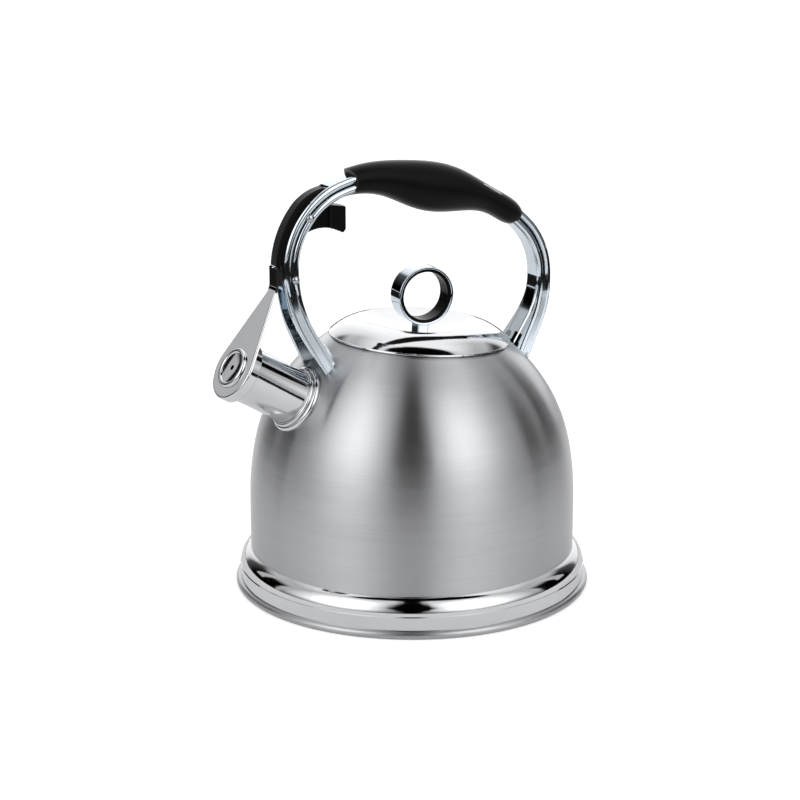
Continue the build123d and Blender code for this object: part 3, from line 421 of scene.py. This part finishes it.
# ------------------------------------------------------------------ return spring
COIL_RADIUS = 2.2 / MM          # to the wire's centre
COIL_LENGTH = 1.88 / MM
COIL_TURN = 713.0               # degrees from the lever's leg round to the frame's leg
COIL_START = 207.1              # degrees from +X towards +Z about the lever pin
COIL_STEPS = 31
LEVER_LEG, FRAME_LEG = 14.52 / MM, 12.87 / MM
LEG_SHARES = (0.1, 0.5, 1.0)    # points along each leg
SPRING_WIRE = 0.4 / MM          # the wire's radius


def coil_point(pin, turned, along):
    """A point of the spring: turned degrees round its coil, then out along the tangent."""
    angle = radians(COIL_START + turned)
    x = pin[0] + COIL_RADIUS * cos(angle) - along * sin(angle)
    z = pin[2] + COIL_RADIUS * sin(angle) + along * cos(angle)
    return (x, COIL_LENGTH * (0.5 - turned / COIL_TURN), z, 1.0)


def wound_spring():
    """The lever's torsion spring: a leg on the lever, a coil round its pin, a leg on the frame."""
    pin = next(joint["pos_m"] for joint in frame["joints"] if joint["name"] == "lever_swing")
    points = [coil_point(pin, 0.0, -LEVER_LEG * share) for share in reversed(LEG_SHARES)]
    for step in range(COIL_STEPS + 1):
        points.append(coil_point(pin, COIL_TURN * step / COIL_STEPS, 0.0))
    points += [coil_point(pin, COIL_TURN, FRAME_LEG * share) for share in LEG_SHARES]
    wire = nodes["return_spring"].data.materials[0]
    spring = drawn_wire("wound_spring", points, SPRING_WIRE, wire)
    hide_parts("return_spring")
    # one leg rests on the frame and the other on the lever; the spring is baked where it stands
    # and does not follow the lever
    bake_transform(spring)


# ------------------------------------------------------------------ beads down the legs
BEAD_RADIUS = 0.95 / MM
BEAD_SUNK = 0.35 / MM           # how far each bead's centre lies under the facet's face
BEAD_TIP = 0.45                 # what is left of its radius where it dies away
BEAD_FOOT_SHARES = (-0.1, 0.35, 0.7, 1.0)       # points up the straight foot, from in the dome
BEAD_ARC_SHARES = (0.8, 0.6, 0.4, 0.2, 0.0)     # what is left of the arc at each point
# distance of each bead from the leg's centre line, towards the inside of the arch
BEAD_LINES = (("inner", 1.4 / MM), ("outer", -3.7 / MM))
FACET_TOP, FACET_FOOT = 5.5 / MM, 13.5 / MM     # half widths of the leg across its facets

# each leg in side view: where its foot meets the dome, its lean from upright at the foot, its
# straight run, the arc above that, the height it flares over, and the bearing its beads end at
LEGS = {
    "front": {
        "foot": Vector((-64.0, 146.13)) / MM,
        "lean": 29,
        "run": 21 / MM,
        "arc": 85 / MM,
        "flare": 78 / MM,
        "stop": 7,
    },
    "rear": {
        "foot": Vector((72.2, 137.99)) / MM,
        "lean": 33,
        "run": 21 / MM,
        "arc": 50.4 / MM,
        "flare": 63 / MM,
        "stop": 0,
    },
}


def flared_half_width(drop, flare):
    """Half width of a leg some way down its flare, which sweeps out in one arc to the foot."""
    grown = FACET_FOOT - FACET_TOP
    sweep = (grown * grown + flare * flare) / (2 * grown)
    drop = max(0.0, drop)
    return FACET_TOP + sweep - sqrt(sweep * sweep - drop * drop)


def leg_bead(name, side, inset, foot, lean, run, arc, flare, stop):
    """A fine rounded bead along one edge of a flared leg, from the dome to where it dies away."""
    outwards = -1 if foot.x < 0 else 1
    slant, upright = sin(radians(lean)), cos(radians(lean))
    up = Vector((outwards * slant, upright))
    inwards = Vector((-outwards * upright, slant))
    hub = foot + up * run + inwards * arc
    path = [foot + up * run * share + inwards * inset for share in BEAD_FOOT_SHARES]
    for share in BEAD_ARC_SHARES:
        angle = radians(stop + (lean - stop) * share)
        path.append(hub + Vector((outwards * cos(angle), -sin(angle))) * (arc - inset))
    points = []
    for x, z in path:
        half = flared_half_width(foot.y + flare - z, flare) - BEAD_SUNK
        points.append((x, side * half, z, 1.0))
    for last in (-2, -1):
        points[last] = (*points[last][:3], BEAD_TIP)
    bead = drawn_wire(name, points, BEAD_RADIUS, nodes["handle_frame"].data.materials[0])
    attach(bead, "vessel")


wound_spring()
for side_name, side in (("near", -1), ("far", 1)):
    for line_name, inset in BEAD_LINES:
        for leg_name, leg in LEGS.items():
            leg_bead(f"{leg_name}_leg_bead_{side_name}_{line_name}", side, inset, **leg)


# ------------------------------------------------------------------ studio
VIEW_TURN = 30.5               # degrees from the kettle's side to the camera
CAMERA_DISTANCE = 1.3966
CAMERA_ASIDE = -0.0073
CAMERA_HEIGHT = 0.5092
CAMERA_DIP = 15.78             # degrees below level
CAMERA_LENS, CAMERA_SENSOR = 106.87, 36

TABLE_WIDTH = 12.0
TABLE_GLOW = 0.5               # seen directly: brings the table to white
TABLE_GLOW_IN_MIRRORS = 0.15
# a black ring on the table that only mirrors see: painted dark reflection
DARK_RING_INNER, DARK_RING_OUTER = 0.75, 4.0
DARK_RING_LIFT = 0.001
DARK_RING_SEGMENTS = 96

# light of the walls by degrees from the room's front, the same to the left and the right
WALL_LEVELS = (
    (0, 0.1),
    (8, 0.3),
    (15, 0.6),
    (24, 1.3),
    (34, 2.1),
    (45, 2.5),
    (58, 2.1),
    (75, 1.15),
    (90, 0.6),
    (118, 0.6),
    (140, 0.7),
    (150, 1.1),
    (165, 1.4),
    (180, 1.45),
)
TOP_LEVEL = 2.5                # the brightest of them
# how open the walls are by the same degrees: the unlit gaps beside the kettle are near 0
WALL_GAPS = (
    (0, 1.0),
    (96, 1.0),
    (98.5, 0.0),
    (127, 0.0),
    (140, 0.15),
    (145, 1.0),
)
PANEL_TURN, PANEL_HALF = 120.0, 4.5    # a pale panel that hangs in each gap, in degrees
ROOM_TURN = -2.5               # degrees the room's front lies to the right of the camera
FRONT_CEILING, REAR_CEILING = 0.85, 1.3

# heights in the room are sines of the angle above level, each pair the start and end of a fade
PANEL_FOOT = (0.17, 0.21)
GAP_HEAD = (0.46, 0.6)
LOW_WALL, LOW_WALL_LEVEL = (0.04, 0.24), 0.35
CEILING_EDGE = (0.72, 0.92)
REAR_EDGE = (0.0, 0.15)        # from the near half of the room to the half behind the kettle
STRIP_EDGE = (0.05, 0.13)      # half width of the dark strip over the camera
STAND_HEIGHT, STAND_REACH = 0.48, 0.42          # where the strip is wider, up and down
STAND_BULGE = 0.17             # how much wider on each side
UNLIT_PANEL = (0.47, 0.18)     # half sizes of the dark ceiling panel, across and away
UNLIT_SHIFT = (-0.12, 0.42)    # its place, counted in those half sizes
UNLIT_EDGE = (0.9, 1.05)

LAMP_AIM = Vector((0, 0, 0.13))
LAMP_DISTANCE, LAMP_HEIGHT = 1.5, 1.1
LAMP_WIDTH, LAMP_LENGTH = 0.9, 1.4
LAMPS = (("box_left", -50, 4), ("box_right", 52, 3))     # name, turn in degrees, watts

to_right = Vector((cos(radians(VIEW_TURN)), -sin(radians(VIEW_TURN)), 0))
away = Vector((sin(radians(VIEW_TURN)), cos(radians(VIEW_TURN)), 0))


def seen_straight(tree, path):
    """1 for what the eye sees directly or through glass, and 0 for every other ray."""
    return add_node(
        tree,
        "Math",
        {0: path["Is Camera Ray"], 1: path["Is Transmission Ray"]},
        operation="ADD",
        use_clamp=True,
    ).outputs[0]


def table_top():
    """White table: white to the eye, a little dimmer in mirrors, and it keeps a soft shadow."""
    material, tree = empty_material("white_table")
    path = add_node(tree, "LightPath").outputs
    dull = add_node(tree, "BsdfDiffuse", {"Color": linear("#DADADA")})
    mirrored = add_node(
        tree, "Math", {0: path["Is Glossy Ray"], 1: TABLE_GLOW_IN_MIRRORS}, operation="MULTIPLY"
    ).outputs[0]
    level = add_node(
        tree,
        "Math",
        {0: seen_straight(tree, path), 1: TABLE_GLOW, 2: mirrored},
        operation="MULTIPLY_ADD",
    ).outputs[0]
    glow = add_node(tree, "Emission", {"Color": (1, 1, 1, 1), "Strength": level})
    both = add_node(tree, "AddShader", {0: dull.outputs[0], 1: glow.outputs[0]})
    add_node(tree, "OutputMaterial", {"Surface": both.outputs[0]})
    form = bmesh.new()
    bmesh.ops.create_grid(form, x_segments=1, y_segments=1, size=TABLE_WIDTH / 2)
    piece_from(form, "table_top", material)


def mirror_only_dark_ring():
    """A black ring on the table round the set, unseen by the camera: a painted dark reflection
    that only the metal high up mirrors.
    """
    material, tree = empty_material("painted_dark_reflection")
    dark_sheet = add_node(tree, "BsdfDiffuse", {"Color": linear("#1C1C1C")})
    add_node(tree, "OutputMaterial", {"Surface": dark_sheet.outputs[0]})
    form = bmesh.new()
    bmesh.ops.create_circle(form, segments=DARK_RING_SEGMENTS, radius=DARK_RING_INNER)
    rim = bmesh.ops.extrude_edge_only(form, edges=form.edges[:])["geom"]
    outer = [part for part in rim if isinstance(part, bmesh.types.BMVert)]
    grow = DARK_RING_OUTER / DARK_RING_INNER
    bmesh.ops.scale(form, vec=(grow, grow, 1), verts=outer)
    bmesh.ops.translate(form, vec=(0, 0, DARK_RING_LIFT), verts=form.verts)
    ring = piece_from(form, "mirror_only_dark_ring", material)
    # hidden from the camera, diffuse light and shadows, so it only paints a dark reflection into
    # the metal
    ring.visible_camera = False
    ring.visible_diffuse = False
    ring.visible_transmission = False
    ring.visible_shadow = False


def side_walls(tree, bearing, up, rear):
    """Two soft glows, unlit gaps that each hold a pale panel, and near walls dim down low."""
    turned = add_node(
        tree, "Math", {0: bearing, 1: radians(ROOM_TURN)}, operation="SUBTRACT"
    ).outputs[0]
    off = add_node(tree, "Math", {0: turned}, operation="ABSOLUTE").outputs[0]
    share = add_node(tree, "Math", {0: off, 1: pi}, operation="DIVIDE").outputs[0]
    glow = add_node(tree, "ValToRGB", {"Fac": share})
    gaps = add_node(tree, "ValToRGB", {"Fac": share})
    for ramp, table, full in ((glow, WALL_LEVELS, TOP_LEVEL), (gaps, WALL_GAPS, 1.0)):
        stops = ramp.color_ramp.elements
        while len(stops) > 1:
            stops.remove(stops[-1])
        for turn, level in table:
            stop = stops[0] if turn == 0 else stops.new(turn / 180)
            stop.position = turn / 180
            stop.color = (level / full, level / full, level / full, 1)
    lit = add_node(
        tree, "Math", {0: glow.outputs["Color"], 1: TOP_LEVEL}, operation="MULTIPLY"
    ).outputs[0]
    over_table = add_node(
        tree, "MapRange", {"Value": up, "From Min": PANEL_FOOT[0], "From Max": PANEL_FOOT[1]}
    ).outputs["Result"]
    over_gaps = add_node(
        tree, "MapRange", {"Value": up, "From Min": GAP_HEAD[0], "From Max": GAP_HEAD[1]}
    ).outputs["Result"]
    beside = add_node(
        tree,
        "Math",
        {0: off, 1: radians(PANEL_TURN), 2: radians(PANEL_HALF)},
        operation="COMPARE",
    ).outputs[0]
    panel = add_node(tree, "Math", {0: beside, 1: over_table}, operation="MULTIPLY").outputs[0]
    hung = add_node(
        tree, "Math", {0: gaps.outputs["Color"], 1: panel}, operation="MAXIMUM"
    ).outputs[0]
    clear = add_node(tree, "Math", {0: hung, 1: over_gaps}, operation="MAXIMUM").outputs[0]
    low_wall = add_node(
        tree,
        "MapRange",
        {
            "Value": up,
            "From Min": LOW_WALL[0],
            "From Max": LOW_WALL[1],
            "To Min": LOW_WALL_LEVEL,
        },
    ).outputs["Result"]
    lower = add_node(tree, "Math", {0: low_wall, 1: rear}, operation="MAXIMUM").outputs[0]
    shown = add_node(tree, "Math", {0: clear, 1: lower}, operation="MULTIPLY").outputs[0]
    return add_node(tree, "Math", {0: lit, 1: shown}, operation="MULTIPLY").outputs[0]


def beside_strip(tree, aside, up, rear):
    """0 on a dark strip from the floor up over the camera, wider at the camera's stand, else 1."""
    width = add_node(tree, "Math", {0: aside}, operation="ABSOLUTE").outputs[0]
    above = add_node(tree, "Math", {0: up, 1: STAND_HEIGHT}, operation="SUBTRACT").outputs[0]
    off_stand = add_node(tree, "Math", {0: above}, operation="ABSOLUTE").outputs[0]
    bulge = add_node(
        tree,
        "MapRange",
        {"Value": off_stand, "From Max": STAND_REACH, "To Min": STAND_BULGE, "To Max": 0.0},
    ).outputs["Result"]
    spread = add_node(tree, "Math", {0: width, 1: bulge}, operation="SUBTRACT").outputs[0]
    strip = add_node(
        tree, "MapRange", {"Value": spread, "From Min": STRIP_EDGE[0], "From Max": STRIP_EDGE[1]}
    ).outputs["Result"]
    return add_node(tree, "Math", {0: strip, 1: rear}, operation="MAXIMUM").outputs[0]


def beside_unlit_panel(tree, way):
    """0 on an unlit panel of the ceiling overhead, long from left to right, and 1 elsewhere."""
    across, deep = UNLIT_PANEL
    place = add_node(
        tree,
        "Mapping",
        {"Vector": way, "Location": (*UNLIT_SHIFT, 0), "Scale": (1 / across, 1 / deep, 0)},
    ).outputs[0]
    off = add_node(tree, "VectorMath", {0: place}, operation="LENGTH").outputs["Value"]
    return add_node(
        tree, "MapRange", {"Value": off, "From Min": UNLIT_EDGE[0], "From Max": UNLIT_EDGE[1]}
    ).outputs["Result"]


def studio_room():
    """The room that the metal mirrors; seen directly it is plain white all round."""
    world = bpy.data.worlds.new("studio_room")
    scene.world = world
    world.use_nodes = True
    tree = world.node_tree
    tree.nodes.clear()
    path = add_node(tree, "LightPath").outputs
    place = add_node(tree, "TexCoord").outputs["Generated"]
    way = add_node(
        tree, "Mapping", {"Vector": place, "Rotation": (0, 0, radians(VIEW_TURN))}
    ).outputs[0]
    aside, behind, up = add_node(tree, "SeparateXYZ", {0: way}).outputs
    ahead = add_node(tree, "Math", {0: behind, 1: -1.0}, operation="MULTIPLY").outputs[0]
    bearing = add_node(tree, "Math", {0: aside, 1: ahead}, operation="ARCTAN2").outputs[0]
    rear = add_node(
        tree, "MapRange", {"Value": behind, "From Min": REAR_EDGE[0], "From Max": REAR_EDGE[1]}
    ).outputs["Result"]
    walls = side_walls(tree, bearing, up, rear)
    ceiling = add_node(tree, "Mix", {0: rear, 2: FRONT_CEILING, 3: REAR_CEILING}).outputs[0]
    height = add_node(
        tree, "MapRange", {"Value": up, "From Min": CEILING_EDGE[0], "From Max": CEILING_EDGE[1]}
    ).outputs["Result"]
    room = add_node(tree, "Mix", {0: height, 2: walls, 3: ceiling}).outputs[0]
    strip = beside_strip(tree, aside, up, rear)
    panel = beside_unlit_panel(tree, way)
    clear = add_node(tree, "Math", {0: strip, 1: panel}, operation="MULTIPLY").outputs[0]
    light = add_node(tree, "Math", {0: room, 1: clear}, operation="MULTIPLY").outputs[0]
    level = add_node(tree, "Mix", {0: seen_straight(tree, path), 2: light, 3: 1.0}).outputs[0]
    sky = add_node(tree, "Background", {"Color": (1, 1, 1, 1), "Strength": level})
    add_node(tree, "OutputWorld", {"Surface": sky.outputs[0]})


def soft_boxes():
    """Two large soft lamps that give the kettle its shadow; mirrors see the lit walls instead."""
    for name, turn, power in LAMPS:
        lamp = bpy.data.lights.new(name, "AREA")
        lamp.shape = "RECTANGLE"
        lamp.size = LAMP_WIDTH
        lamp.size_y = LAMP_LENGTH
        lamp.energy = power
        flat = to_right * sin(radians(turn)) - away * cos(radians(turn))
        box = bpy.data.objects.new(name, lamp)
        box.location = flat * LAMP_DISTANCE + Vector((0, 0, LAMP_HEIGHT))
        box.rotation_euler = (LAMP_AIM - box.location).to_track_quat("-Z", "Y").to_euler()
        box.visible_glossy = False
        scene.collection.objects.link(box)


def studio_camera():
    """The camera, a little above the lid and looking down on it."""
    lens = bpy.data.cameras.new("camera")
    lens.lens = CAMERA_LENS
    lens.sensor_width = CAMERA_SENSOR
    camera = bpy.data.objects.new("camera", lens)
    camera.location = (
        to_right * CAMERA_ASIDE - away * CAMERA_DISTANCE + Vector((0, 0, CAMERA_HEIGHT))
    )
    look = away * cos(radians(CAMERA_DIP)) - Vector((0, 0, sin(radians(CAMERA_DIP))))
    camera.rotation_euler = look.to_track_quat("-Z", "Y").to_euler()
    scene.collection.objects.link(camera)
    scene.camera = camera


table_top()
mirror_only_dark_ring()
studio_room()
soft_boxes()
studio_camera()
scene.view_settings.view_transform = "Standard"
